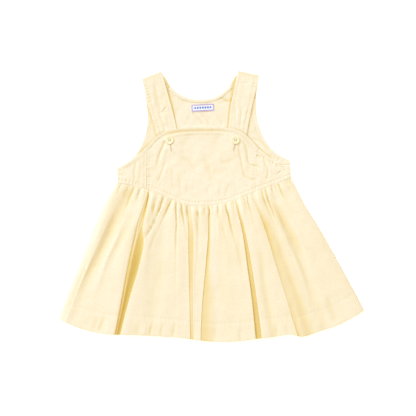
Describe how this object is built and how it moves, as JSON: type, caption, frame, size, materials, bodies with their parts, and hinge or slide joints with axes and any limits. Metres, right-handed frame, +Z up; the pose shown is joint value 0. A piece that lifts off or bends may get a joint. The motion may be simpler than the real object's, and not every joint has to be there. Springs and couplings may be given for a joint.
{
  "type": "pinafore dress",
  "caption": "Child's sleeveless cotton pinafore laid flat: bib buttoned to shoulder straps, curved waist seam and a full gathered skirt with deep folds.",
  "frame": {"origin": "on the surface the dress lies on, under the middle of its bounding box", "axes": "+Z up out of the dress's front, +Y towards the neck, -Y towards the hem, +X to the right as seen from above"},
  "size_m": [0.4571, 0.4064, 0.0125],
  "materials": {
    "cotton": "pale butter-yellow cotton twill, smooth and matt with a faint sheen",
    "button": "pale lemon polyester, soft gloss",
    "thread": "matching sewing thread",
    "label": "white woven satin with a lilac border"
  },
  "bodies": {
    "root": {"bodice_front_centre": "cotton", "bodice_front_left": "cotton", "bodice_front_right": "cotton", "bodice_back": "cotton", "neck_binding": "cotton", "strap_left": "cotton", "strap_right": "cotton", "skirt_front": "cotton", "skirt_back": "cotton", "button_left": "button", "button_right": "button", "button_thread_left": "thread", "button_thread_right": "thread", "neck_label": "label"}
  },
  "joints": []
}
